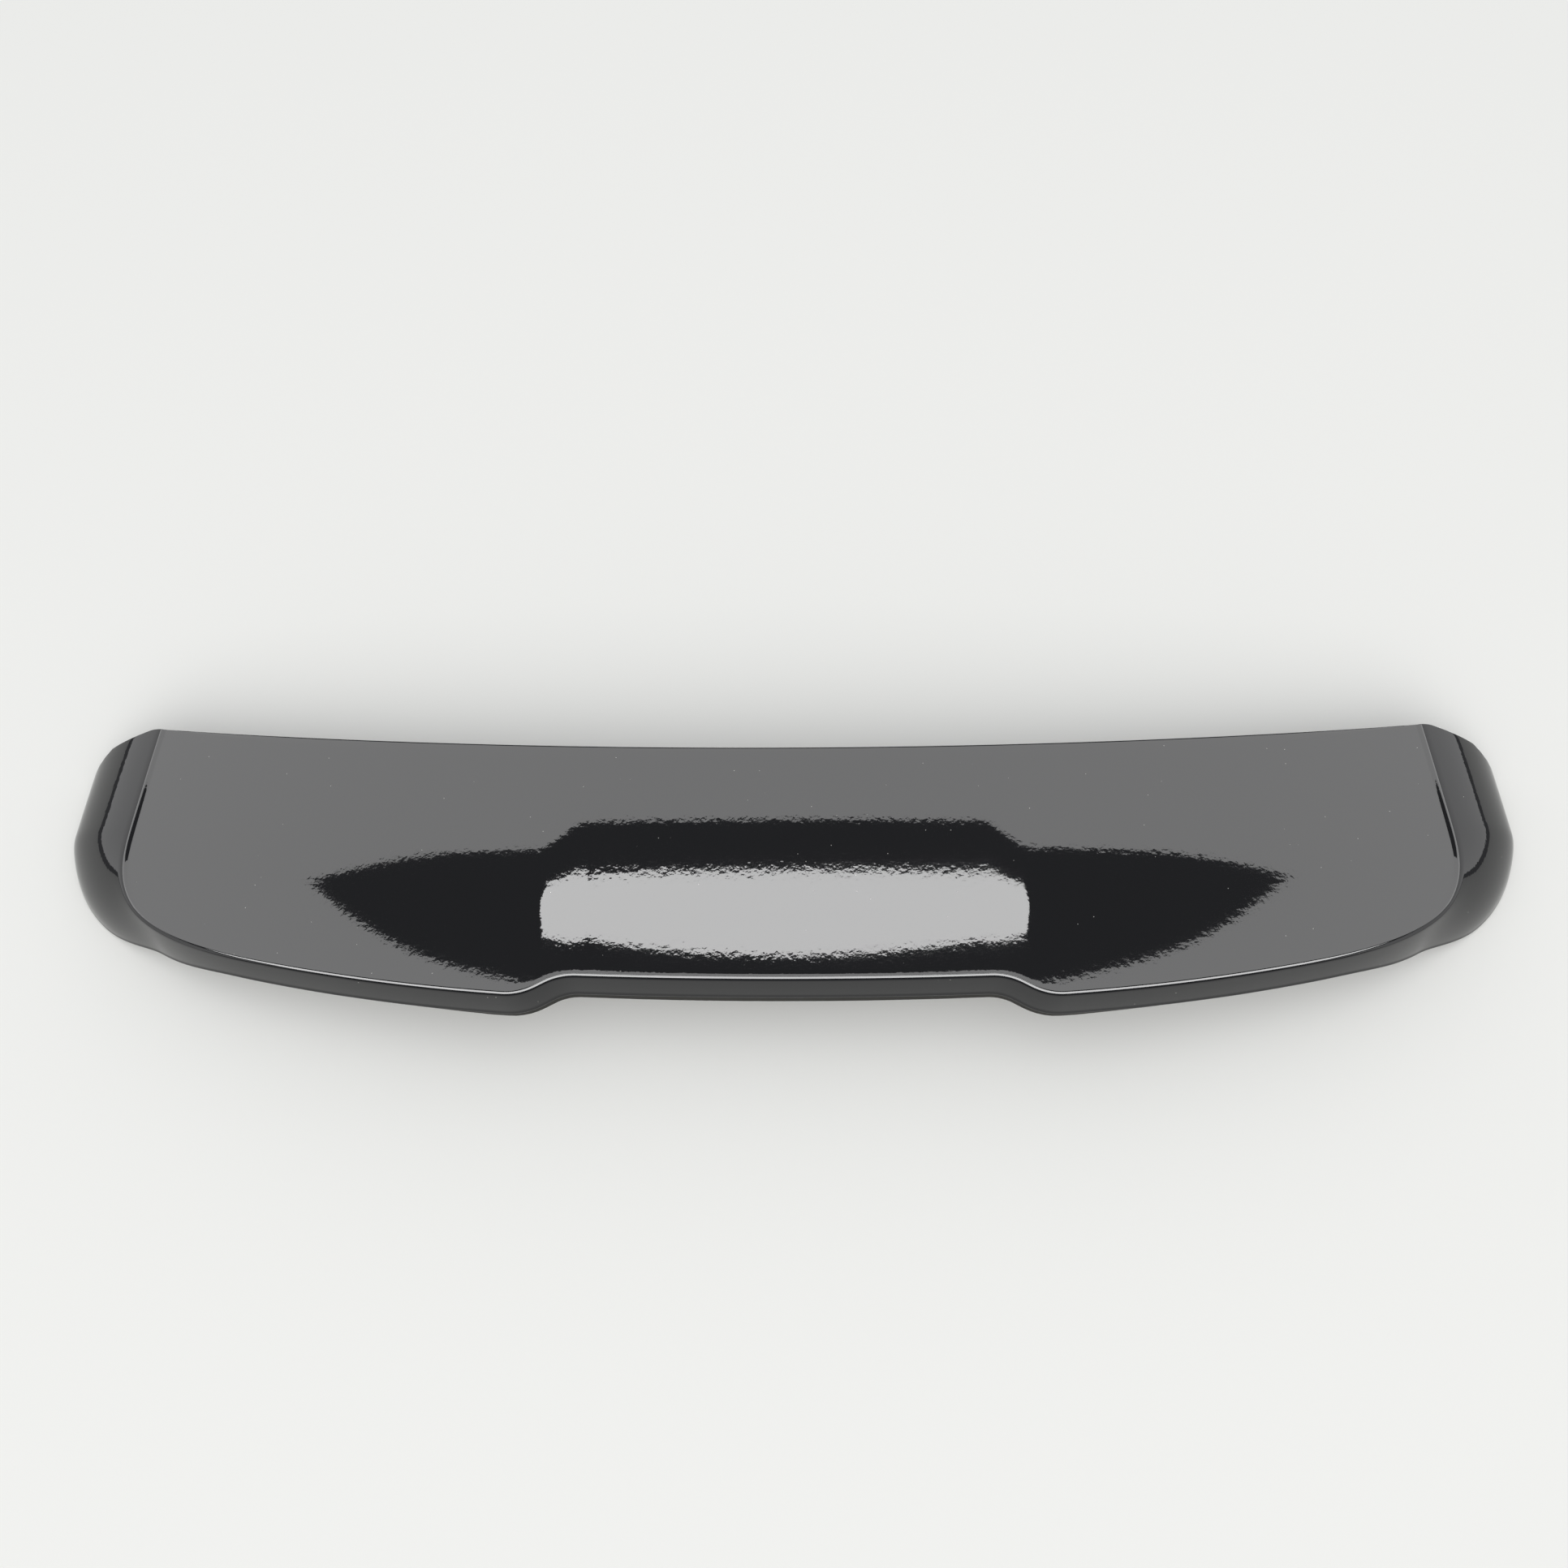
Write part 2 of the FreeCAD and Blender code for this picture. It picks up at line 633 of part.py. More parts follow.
# Foam seals in the bosses' recesses
seal_body = doc.addObject("PartDesign::Body", "seal_body")
seal_sketch = seal_body.newObject("Sketcher::SketchObject", "seal_ring")
level_plane = [item for item in seal_body.Origin.OriginFeatures if item.Role == "XY_Plane"][0]
seal_sketch.AttachmentSupport = (level_plane, [""])
seal_sketch.MapMode = "FlatFace"
for number, name in enumerate(("seal_radius", "seal_bore_radius")):
    circle = seal_sketch.addGeometry(Part.Circle(Vector(0, 0, 0), Vector(0, 0, 1), size(name)))
    seal_sketch.addConstraint(Sketcher.Constraint("Coincident", circle, 3, -1, 1))
    ring_size = seal_sketch.addConstraint(Sketcher.Constraint("Radius", circle, size(name)))
    seal_sketch.setExpression("Constraints[%d]" % ring_size, "sizes." + name)
seal_pad = seal_body.newObject("PartDesign::Pad", "seal_pad")
seal_pad.Profile = seal_sketch
seal_pad.setExpression("Length", "sizes.seal_height")
doc.recompute()
seal_drop = Vector(0, 0, size("seal_recess") - size("seal_height"))
stud_seals = group_at("stud_seals", seal_body.Shape, [seat + seal_drop for seat in seats])

# Spring clips: a folded sheet over each tongue with a barbed leaf on both sides
inner_half = size("tongue_thickness") / 2.0 + size("clip_clearance")
outer_half = inner_half + size("clip_sheet")
clip_foot = -size("clip_clearance") - size("clip_sheet")
clip_top = clip_foot + size("clip_height")
half_width = size("clip_width") / 2.0
fold = box(-outer_half, outer_half, -half_width, half_width, clip_foot, clip_top)
fold = fold.cut(box(-inner_half, inner_half, -half_width, half_width, clip_foot + size("clip_sheet"), clip_top))
barb_z = clip_foot + 0.55 * size("clip_height")
leaf_z = clip_foot + 0.9 * size("clip_height")
leaf_line = [
    (outer_half - size("clip_sheet"), clip_foot),
    (outer_half, clip_foot),
    (outer_half + size("clip_barb"), barb_z),
    (outer_half + size("clip_sheet") + size("clip_clearance"), leaf_z),
    (outer_half + size("clip_clearance"), leaf_z),
    (outer_half + size("clip_barb") - 1.5 * size("clip_sheet"), barb_z),
    (outer_half - size("clip_sheet"), clip_foot + 2.0 * size("clip_sheet")),
]
leaf_points = [Vector(x, -half_width, z) for x, z in leaf_line]
leaf = Part.Face(Part.makePolygon(leaf_points + leaf_points[:1])).extrude(Vector(0, size("clip_width"), 0))
clip = fold.fuse([leaf, leaf.mirror(Vector(0, 0, 0), Vector(1, 0, 0))]).removeSplitter()
wing_clips = group_at("wing_clips", clip, tongue_places)

# Foam strip under the leading edge
strip_front = size("wall") + size("strip_gap")
strip_space = ahead_of_lead(strip_front + size("strip_width")).cut(ahead_of_lead(strip_front))
strip_space = strip_space.common(span(-size("strip_half_width"), size("strip_half_width")))
strip_layer = under_skin.cut(block_under(size("wall") + size("strip_height")))
front_seal = part_feature("front_seal", strip_layer.common(strip_space))

# Felt pads on the wings' inner faces
felt = skin_block(size("wall")).cut(skin_block(size("wall") + size("pad_thickness")))
pads = []
for low, high in ((-HALF_SPAN, -size("tray_half_width")), (size("tray_half_width"), HALF_SPAN)):
    slot = box(low, high, size("pad_rear"), size("pad_front"), -size("pad_bottom"), -size("pad_top"))
    pads.extend(felt.common(slot).Solids)
wing_pads = part_feature("wing_pads", Part.makeCompound(pads))

# Check every object and write the pieces
doc.recompute()
pieces = [upper_shell, lower_shell, bond_bead, mounting_studs, stud_seals, wing_clips, front_seal, wing_pads]
for item in doc.Objects:
    if {"Invalid", "Error"} & set(item.State):
        raise RuntimeError("object failed: " + item.Label)
os.makedirs("parts", exist_ok=True)
for piece in pieces:
    if piece.Shape.isNull() or not piece.Shape.isValid():
        raise RuntimeError("bad shape: " + piece.Label)
    piece.Shape.exportStep("parts/%s.step" % piece.Label)
    extent = piece.Shape.optimalBoundingBox()
    print(piece.Label, len(piece.Shape.Solids), round(piece.Shape.Volume), extent)
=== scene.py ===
# %% [markdown]
# # A tailgate spoiler
# A gloss black moulding that sits on the upper edge of a car's tailgate: a wide stepped panel, a lip with
# a notch, a short rear skirt and two rolled wings at the ends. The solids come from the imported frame.
# This lesson rebuilds the outer skin as one fine mesh, because mirror-like plastic shows every facet,
# gives the studs real threads, paints every piece and sets up the light and the camera.

# %% load the frame
import bmesh
import bpy
import math
import numpy as np
from mathutils import Matrix, Vector


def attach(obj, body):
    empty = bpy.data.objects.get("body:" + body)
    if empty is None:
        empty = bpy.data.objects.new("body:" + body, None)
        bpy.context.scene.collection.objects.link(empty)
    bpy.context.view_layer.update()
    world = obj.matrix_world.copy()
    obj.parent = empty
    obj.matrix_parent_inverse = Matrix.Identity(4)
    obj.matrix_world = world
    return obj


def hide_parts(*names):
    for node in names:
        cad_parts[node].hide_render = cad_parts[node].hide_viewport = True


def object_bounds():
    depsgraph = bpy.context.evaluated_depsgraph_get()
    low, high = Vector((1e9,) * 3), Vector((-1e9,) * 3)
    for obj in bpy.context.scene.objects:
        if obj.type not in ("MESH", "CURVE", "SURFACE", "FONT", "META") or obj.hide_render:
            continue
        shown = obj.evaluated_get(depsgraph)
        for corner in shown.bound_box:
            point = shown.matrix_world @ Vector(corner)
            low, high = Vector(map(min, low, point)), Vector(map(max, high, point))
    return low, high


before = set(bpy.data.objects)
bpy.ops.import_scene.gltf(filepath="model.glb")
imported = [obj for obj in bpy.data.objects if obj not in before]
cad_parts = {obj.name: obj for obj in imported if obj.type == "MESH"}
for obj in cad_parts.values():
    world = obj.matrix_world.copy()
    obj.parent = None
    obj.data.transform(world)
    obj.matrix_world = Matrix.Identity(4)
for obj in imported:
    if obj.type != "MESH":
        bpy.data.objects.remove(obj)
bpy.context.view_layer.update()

# %% [markdown]
# ## The lip
# Seen from above, the lip is a chain of tangent arcs. It starts in the middle of the notch, steps back
# over a soft shoulder, bows forward to the rear corner and runs up the side. A sketch of arcs would do in
# CAD; here the chain is walked with a heading, so that each station also knows which way is out. Sizes
# are in millimetres and angles in degrees until the mesh is made.

# %% arcs of the lip
NOTCH_HALF, NOTCH_RADIUS = 155.0, 3550.0
SHOULDER_RADIUS, SHOULDER_RUN, SHOULDER_ANGLE = 45.0, 7.5, -28.5
CORNER_START, SIDE_ANGLE = 33.0, 97.0
ARCS = [  # radius, or none for a straight run, and the heading at the end
    (NOTCH_RADIUS, math.degrees(math.asin(NOTCH_HALF / NOTCH_RADIUS))),
    (SHOULDER_RADIUS, SHOULDER_ANGLE),
    (None, SHOULDER_ANGLE),
    (SHOULDER_RADIUS, 4.8),
    (1500.0, 12.6),
    (400.0, 20.0),
    (180.0, CORNER_START),
    (66.0, SIDE_ANGLE),
]
arc_runs, arc_headings = [0.0], [0.0]
for arc_radius, end_heading in ARCS:
    turn = math.radians(abs(end_heading - arc_headings[-1]))
    arc_runs.append(arc_runs[-1] + (SHOULDER_RUN if arc_radius is None else arc_radius * turn))
    arc_headings.append(end_heading)
print("lip arcs", len(ARCS), "with a run of", round(arc_runs[-1], 1), "mm to the side")

# %% [markdown]
# Arcs that meet make a sudden change of bend, and gloss shows it as a kink in the reflections. So the
# heading is eased: a little at the notch, which is crisp, and more round the corner. Stations then crowd
# where the lip turns, which saves faces on the straight runs.

# %% stations along the lip
NOTCH_LIP_Y, SIDE_TOP_Y = -126.5, 96.0
SIDE_SPARE = 200.0
FINE_STEP = 0.5
CRISP_BLUR, SOFT_BLUR = 2.0, 12.0
SOFT_FROM, SOFT_TO = arc_runs[5] - 60.0, arc_runs[6]
STATION_STEP, TURN_WEIGHT = 4.2, 70.0


def smooth(low, high, value):
    share = np.clip((value - low) / (high - low), 0.0, 1.0)
    return share * share * (3.0 - 2.0 * share)


def blurred(values, width):
    """Values at fine steps, eased over a width."""
    reach = int(3.0 * width / FINE_STEP)
    bell = np.exp(-0.5 * (np.arange(-reach, reach + 1) * FINE_STEP / width) ** 2)
    return np.convolve(np.pad(values, reach, mode="edge"), bell / bell.sum(), mode="valid")


def walk_lip():
    """Stations (x, y, heading), closer together where the lip turns."""
    along = np.arange(0.0, arc_runs[-1] + SIDE_SPARE, FINE_STEP)
    sharp = np.interp(along, arc_runs, arc_headings)
    ease = smooth(SOFT_FROM, SOFT_TO, along)
    heading = blurred(sharp, CRISP_BLUR) * (1.0 - ease) + blurred(sharp, SOFT_BLUR) * ease
    angle = np.radians(heading)
    x = np.concatenate([[0.0], np.cumsum(np.cos(angle[:-1]) * FINE_STEP)])
    y = NOTCH_LIP_Y + np.concatenate([[0.0], np.cumsum(np.sin(angle[:-1]) * FINE_STEP)])
    last = int(np.argmax(y > SIDE_TOP_Y))
    weight = (1.0 + TURN_WEIGHT * np.abs(np.gradient(angle, FINE_STEP))) / STATION_STEP
    count = np.cumsum(weight[:last]) * FINE_STEP
    places = np.interp(np.linspace(0.0, count[-1], int(count[-1])), count, along[:last])
    places[0] = 0.0
    return np.stack([np.interp(places, along, v) for v in (x, y, heading)], axis=1)


lip = walk_lip()
lip_x, lip_y, lip_heading = lip[:, 0], lip[:, 1], lip[:, 2]
print("lip", len(lip), "stations, half width", round(lip_x.max(), 1), "mm")

# %% [markdown]
# Each station needs to know which way is out, and how far it belongs to the wing: nothing along the rear,
# all of it up the side, with a smooth change round the corner.

# %% directions and the share of the wing
WING_BLEND = 105.0
lip_angle = np.radians(lip_heading)
out_x, out_y = np.sin(lip_angle), -np.cos(lip_angle)
lip_run = np.concatenate([[0.0], np.cumsum(np.hypot(np.diff(lip_x), np.diff(lip_y)))])
corner_run = lip_run - lip_run[np.argmax(lip_heading > CORNER_START) - 1]
wing_share = smooth(0.0, WING_BLEND, corner_run)
print("stations on the wing", int((wing_share > 0.5).sum()), "of", len(lip))

# %% [markdown]
# ## The panel
# The panel is nearly flat. Seen from the side it is crowned at the front and hollow near the lip, where
# it kicks up; across the car it is swept round a far axis that leans forward, which gives crown and bow
# at once. A height over the plan is enough, found by turning each point round that axis to the middle.

# %% height of the panel
KICK_Y, KICK_Z = -75.0, 42.1
KICK_SLOPE = math.radians(2.5)
KICK_RADIUS, KICK_REACH = 750.0, 300.0
FRONT_BEND = 2500.0
SWEEP_RADIUS, SWEEP_TILT = 1950.0, math.radians(24.6)
SETTLING_ROUNDS = 14
inward = (math.cos(SWEEP_TILT), -math.sin(SWEEP_TILT))
upward = (math.sin(SWEEP_TILT), math.cos(SWEEP_TILT))
kick_sine, kick_cosine = math.sin(KICK_SLOPE), math.cos(KICK_SLOPE)
front_centre = (KICK_Y + FRONT_BEND * kick_sine, KICK_Z - FRONT_BEND * kick_cosine)
rear_centre = (KICK_Y - KICK_RADIUS * kick_sine, KICK_Z + KICK_RADIUS * kick_cosine)


def profile_height(y):
    """Height of the side profile in the middle of the car."""
    front = front_centre[1] + np.sqrt(FRONT_BEND ** 2 - (y - front_centre[0]) ** 2)
    behind = np.clip(y - rear_centre[0], -KICK_REACH, KICK_REACH)
    rear = rear_centre[1] - np.sqrt(KICK_RADIUS ** 2 - behind ** 2)
    return np.where(y > KICK_Y, front, rear)


def panel_height(x, y):
    """Height of the swept profile over a plan point."""
    z = np.full(np.shape(x), KICK_Z)
    for _ in range(SETTLING_ROUNDS):
        up = (y - KICK_Y) * upward[0] + (z - KICK_Z) * upward[1]
        toward = (y - KICK_Y) * inward[0] + (z - KICK_Z) * inward[1]
        toward = SWEEP_RADIUS - np.hypot(x, SWEEP_RADIUS - toward)
        middle_y = KICK_Y + up * upward[0] + toward * inward[0]
        middle_z = KICK_Z + up * upward[1] + toward * inward[1]
        z = z + profile_height(middle_y) - middle_z
    return z


panel_middle_z = float(panel_height(np.array(0.0), np.array(0.0)))
lip_middle_z = float(panel_height(np.array(0.0), np.array(NOTCH_LIP_Y)))
print("panel at the middle", round(panel_middle_z, 2), "mm, at the lip", round(lip_middle_z, 2), "mm")

# %% [markdown]
# ## The bay
# A bay less than 2 mm deep runs down the middle of the panel into the notch. It can't be seen in the
# outline, but it steps the reflections on the gloss. A boolean cut would leave hard edges, so the height
# is lowered smoothly instead.

# %% bay in the panel
BAY_DEPTH, BAY_HALF, BAY_EDGE = 1.7, 150.0, 188.0
BAY_REAR, BAY_FRONT = -60.0, 60.0


def skin_height(x, y):
    """The panel with its bay."""
    bay = (1.0 - smooth(BAY_HALF, BAY_EDGE, np.abs(x))) * (1.0 - smooth(BAY_REAR, BAY_FRONT, y))
    return panel_height(x, y) - BAY_DEPTH * bay


bay_middle_z = float(skin_height(np.array(0.0), np.array(BAY_REAR)))
print("bay at its rear", round(bay_middle_z, 2), "mm")

# %% [markdown]
# ## The skirt and the wings
# Below the lip the skin leans out a little at the rear and rolls far out at the wings; the two shapes
# blend round the corner. A curve for each station does it: out by a lean, and back in by a roll that
# grows with depth. The front ends of the wings are raked and meet the panel's leading edge.

# %% flare below the lip
BEAD_RISE, BEAD_WIDTH = 0.5, 4.4
STEP_RISE, STEP_WIDTH = 1.3, 4.5
SKIRT_FLARE, SKIRT_HEIGHT, SKIRT_ROUND = 7.0, 25.0, 0.2
WING_FLARE, WING_DROP, WING_ROUND = 74.0, 62.0, 0.85
WING_FRONT, WING_RAKE = 98.0, math.tan(math.radians(12.0))
LEAD_Y, LEAD_RADIUS = 63.5, 4080.0
SIDE_START, SIDE_EASE = 0.98, 1.5
ramp_rise = BEAD_RISE + (STEP_RISE - BEAD_RISE) * wing_share
ramp_width = BEAD_WIDTH + (STEP_WIDTH - BEAD_WIDTH) * wing_share
ridge_z = skin_height(lip_x, lip_y) + ramp_rise
side_first = int(np.argmax(lip_heading > SIDE_START * SIDE_ANGLE))
side_share = np.clip((lip_y - lip_y[side_first]) / (SIDE_TOP_Y - lip_y[side_first]), 0.0, 1.0)
side_share[:side_first] = 0.0
side_lean = math.tan(math.radians(SIDE_ANGLE - 90.0))


def lean_and_roll(out, drop, roundness):
    return (1.0 + roundness) * out / drop, roundness * out / drop ** 2


def flare(depth):
    """Reach outwards at a depth below the ridge, and how steeply it grows there."""
    rear_lean, rear_roll = lean_and_roll(SKIRT_FLARE, SKIRT_HEIGHT, SKIRT_ROUND)
    wing_lean, wing_roll = lean_and_roll(WING_FLARE, WING_DROP, WING_ROUND)
    lean = rear_lean + wing_share * (wing_lean - rear_lean)
    roll = rear_roll + wing_share * (wing_roll - rear_roll)
    return lean * depth - roll * depth ** 2, lean - 2.0 * roll * depth


def leading_edge(x):
    return LEAD_Y + x ** 2 / (2.0 * LEAD_RADIUS)


def skirt_points(depth, inset):
    """One point for each station, at a depth below the ridge, on the skin or inset from it."""
    offset, steepness = flare(depth)
    offset = offset - inset * np.hypot(1.0, steepness)
    z = ridge_z - depth
    x = lip_x + offset * out_x
    y = lip_y + offset * out_y
    front = np.minimum(WING_FRONT - (ridge_z - z) * WING_RAKE, leading_edge(x))
    end_y = SIDE_TOP_Y + offset * out_y[-1]
    back = (end_y - front) * side_share ** SIDE_EASE
    return np.stack([x + back * side_lean, y - back, z], axis=1)


print("flare of the wing", round(float(flare(np.full(len(lip), WING_DROP))[0].max()), 1), "mm")

# %% [markdown]
# The skirt's lower edge follows an arch across the car, falls to the wings' floor and ends in a rounded
# toe. Each station's curve goes down until it meets that edge, so the edge needs no trimming afterwards.

# %% lower edge
WING_FLOOR = -45.0
ARCH_HALF, ARCH_DROP = 420.0, 19.0
EDGE_BEND, EDGE_FALL, EDGE_SAMPLES = 160.0, -20.0, 12
TOE_RADIUS, TOE_REACH, TOE_INNER_X = 40.0, 0.81, 500.0
DEEPEST, DEPTH_TRIES = 74.0, 371
EDGE_EASING = 5


def bend(point, heading, end_heading, radius):
    """End of an arc that leaves a point at one heading and ends at another."""
    signed = math.copysign(radius, end_heading - heading)
    first, last = math.radians(heading), math.radians(end_heading)
    return (
        point[0] + signed * (math.sin(last) - math.sin(first)),
        point[1] + signed * (math.cos(first) - math.cos(last)),
    )


def toe_height(y):
    toe_y = WING_FRONT - (ridge_z[-1] - WING_FLOOR) * WING_RAKE
    past = np.maximum(y - (toe_y - TOE_RADIUS * TOE_REACH), 0.0)
    rise = TOE_RADIUS - np.sqrt(np.maximum(TOE_RADIUS ** 2 - past ** 2, 0.0))
    return np.where(past > 0.0, WING_FLOOR + rise, WING_FLOOR)


def lower_edge(x, y):
    """Height of the skin's lower edge over a plan point."""
    beside = np.abs(x)
    radius = (ARCH_HALF ** 2 + ARCH_DROP ** 2) / (2.0 * ARCH_DROP)
    crown = lip_middle_z - SKIRT_HEIGHT
    arch = crown - (radius - np.sqrt(radius ** 2 - np.minimum(beside, ARCH_HALF) ** 2))
    start = -math.degrees(math.asin(ARCH_HALF / radius))
    turned = np.linspace(start, EDGE_FALL, EDGE_SAMPLES)
    curve = np.array([bend((ARCH_HALF, crown - ARCH_DROP), start, angle, EDGE_BEND) for angle in turned])
    end_x, end_z = curve[-1]
    falling = end_z + math.tan(math.radians(EDGE_FALL)) * (beside - end_x)
    bent = np.where(beside > end_x, falling, np.interp(beside, curve[:, 0], curve[:, 1]))
    edge = np.maximum(np.where(beside > ARCH_HALF, bent, arch), WING_FLOOR)
    return np.where(beside > TOE_INNER_X, np.maximum(edge, toe_height(y)), edge)


def edge_depth():
    """Depth at which each station's curve meets the lower edge."""
    tries = np.linspace(0.0, DEEPEST, DEPTH_TRIES)
    found = np.full(len(lip), DEEPEST)
    for depth in tries[::-1]:
        point = skirt_points(np.full(len(lip), depth), 0.0)
        below = point[:, 2] <= lower_edge(point[:, 0], point[:, 1])
        found = np.where(below, depth, found)
    padded = np.pad(found, EDGE_EASING // 2, mode="edge")
    return np.convolve(padded, np.ones(EDGE_EASING) / EDGE_EASING, mode="valid")


outer_depth = edge_depth()
print("skirt depth", round(outer_depth[0], 1), "to", round(outer_depth.max(), 1), "mm")

# %% [markdown]
# ## One closed skin
# The skin is a moulding with a 3 mm wall, so the mesh is one loop of rows: up the leading flange, back
# over the panel, up the small ramp, round the ridge, down the skirt, round its lower edge and back along
# the inside. Columns run along the lip, so the notch and the corners stay crisp, and every edge that
# catches light is round.

# %% rows over the panel
WALL = 3.0
FLANGE, FLANGE_FADE_FROM, FLANGE_FADE_TO = 5.0, 455.0, 495.0
LEAD_ROUND, LEAD_ROWS, LEAD_SHARE = 1.5, 5, 0.012
PANEL_ROWS, PANEL_FIRST, PANEL_POWER = 44, 0.03, 0.85
lead_x = lip_x[-1] * lip_run / lip_run[-1]
lead_y = leading_edge(lead_x)
lead_z = skin_height(lead_x, lead_y)
foot_x, foot_y = lip_x - out_x * ramp_width, lip_y - out_y * ramp_width
flange = WALL + FLANGE * (1.0 - smooth(FLANGE_FADE_FROM, FLANGE_FADE_TO, lead_x))


def row(x, y, z):
    return np.stack([x, y, z], axis=1)


def across(first, last, share):
    return first + (last - first) * share


def panel_row(share):
    """A row on the panel, a share of the way from the leading edge to the foot of the ramp."""
    x, y = across(lead_x, foot_x, share), across(lead_y, foot_y, share)
    return row(x, y, skin_height(x, y))


def rounded(first, corner, last, count):
    """Rows of a curve that leaves one row, bends near the corner and reaches the other."""
    made = []
    for share in np.linspace(0.0, 1.0, count):
        made.append((1 - share) ** 2 * first + 2 * share * (1 - share) * corner + share ** 2 * last)
    return made


lead_side = row(lead_x, lead_y, lead_z - LEAD_ROUND)
outer = [row(lead_x, lead_y, lead_z - flange)]
outer += rounded(lead_side, row(lead_x, lead_y, lead_z), panel_row(LEAD_SHARE), LEAD_ROWS)
outer += [panel_row(share) for share in np.linspace(PANEL_FIRST, 1.0, PANEL_ROWS) ** PANEL_POWER]
print("rows up to the ramp", len(outer))

# %% [markdown]
# At the ridge the ramp meets the skirt. Along the rear that edge is one soft lip, which catches a bright
# line; on the wings it stays a narrow ramp with a rounded top. The skirt then goes down to a slight hem
# at its lower edge.

# %% rows of the ramp, the ridge and the skirt
RAMP_ROWS, RAMP_POWER = 5, 1.2
REAR_STOP, WING_STOP = 0.08, 0.62
ROUND_ROWS, ROUND_DEPTH = 11, 2.6
SKIRT_ROWS, SKIRT_POWER = 24, 1.6
HEM, HEM_WIDTH = 0.6, 1.5
EDGE_ROWS, EDGE_ROUND, EDGE_SHARE = 4, 1.2, 0.45
foot_row, ridge_row = outer[-1], row(lip_x, lip_y, ridge_z)
ramp_stop = across(REAR_STOP, WING_STOP, wing_share)
for step in np.linspace(0.0, 1.0, RAMP_ROWS + 1)[1:]:
    share = (ramp_stop * step)[:, None]
    level = across(foot_row, ridge_row, share)
    level[:, 2] = across(foot_row, ridge_row, share ** RAMP_POWER)[:, 2]
    outer.append(level)
first_skirt = skirt_points(np.full(len(lip), ROUND_DEPTH), 0.0)
outer += rounded(outer[-1], ridge_row, first_skirt, ROUND_ROWS)[1:]

last_depth = outer_depth - EDGE_ROUND
out_row = row(out_x, out_y, np.zeros(len(lip)))
for share in 1.0 - (1.0 - np.linspace(0.0, 1.0, SKIRT_ROWS)[1:]) ** SKIRT_POWER:
    depth = across(ROUND_DEPTH, last_depth, share)
    hem = HEM * (1.0 - wing_share) * np.exp(-((last_depth - depth) / HEM_WIDTH) ** 2)
    outer.append(skirt_points(depth, 0.0) + out_row * hem[:, None])
inner_edge = skirt_points(outer_depth, WALL)
edge_corner = skirt_points(outer_depth, 0.0) + out_row * (HEM * (1.0 - wing_share))[:, None]
outer += rounded(outer[-1], edge_corner, across(edge_corner, inner_edge, EDGE_SHARE), EDGE_ROWS)[1:]
print("rows outside", len(outer))

# %% [markdown]
# The inside is seen only from below, so it is coarser: up the wall, forward under the panel and down the
# flange.

# %% rows inside
INNER_DEPTH, INNER_STEP = 5.0, 2.5
INNER_SKIRT_ROWS, INNER_PANEL_ROWS = 12, 16
LEAST_FLANGE = 0.05
inner = [inner_edge]
for share in np.linspace(1.0, 0.0, INNER_SKIRT_ROWS)[1:]:
    inner.append(skirt_points(across(INNER_DEPTH, outer_depth, share), WALL))
inner_foot = skirt_points(np.full(len(lip), INNER_DEPTH), WALL + INNER_STEP)
for share in np.linspace(1.0, 0.0, INNER_PANEL_ROWS):
    x = across(lead_x, inner_foot[:, 0], share)
    y = across(lead_y - WALL, inner_foot[:, 1], share)
    inner.append(row(x, y, panel_height(x, y) - WALL))
flange_z = np.minimum(lead_z - flange, inner[-1][:, 2] - LEAST_FLANGE)
inner.append(row(lead_x, lead_y - WALL, flange_z))
print("rows inside", len(inner))

# %% [markdown]
# The right half is mirrored column by column, the rows are joined into quads, and a strip of triangles
# closes each wing's front end between the outer and the inner rows. The normals are then made to agree.

# %% mesh of the skin
MM = 1000.0
SKIN_SHARP = 42.0


def both_sides(half):
    left = half[:0:-1].copy()
    left[:, 0] = -left[:, 0]
    return np.concatenate([left, half])


def strip(first, last):
    """Triangles between two runs of vertex numbers that start and end together."""
    made, i, j = [], 0, 0
    while i < len(first) - 1 or j < len(last) - 1:
        if j == len(last) - 1 or (i < len(first) - 1 and (i + 1) / len(first) <= (j + 1) / len(last)):
            made.append((first[i], first[i + 1], last[j]))
            i += 1
        else:
            made.append((first[i], last[j + 1], last[j]))
            j += 1
    return made


def new_piece(name, vertices, faces, sharp_angle):
    """A smooth piece, with edges sharper than an angle left hard."""
    mesh = bpy.data.meshes.new(name)
    mesh.from_pydata([tuple(v) for v in vertices], [], faces)
    mesh.validate()
    mesh.polygons.foreach_set("use_smooth", [True] * len(mesh.polygons))
    mesh.set_sharp_from_angle(angle=math.radians(sharp_angle))
    mesh.update()
    piece = bpy.data.objects.new(name, mesh)
    bpy.context.scene.collection.objects.link(piece)
    return piece


skin_rows = [both_sides(half) for half in outer + inner]
columns = len(skin_rows[0])
skin_faces = []
for r in range(len(skin_rows)):
    here, there = r * columns, (r + 1) % len(skin_rows) * columns
    for c in range(columns - 1):
        skin_faces.append((here + c, here + c + 1, there + c + 1, there + c))
for c, turned in ((0, False), (columns - 1, True)):
    outside = [r * columns + c for r in range(len(outer))]
    inside = [r * columns + c for r in range(len(skin_rows) - 1, len(outer) - 1, -1)]
    for triangle in strip(outside, inside):
        skin_faces.append(triangle[::-1] if turned else triangle)
skin = new_piece("skin", np.concatenate(skin_rows) / MM, skin_faces, SKIN_SHARP)

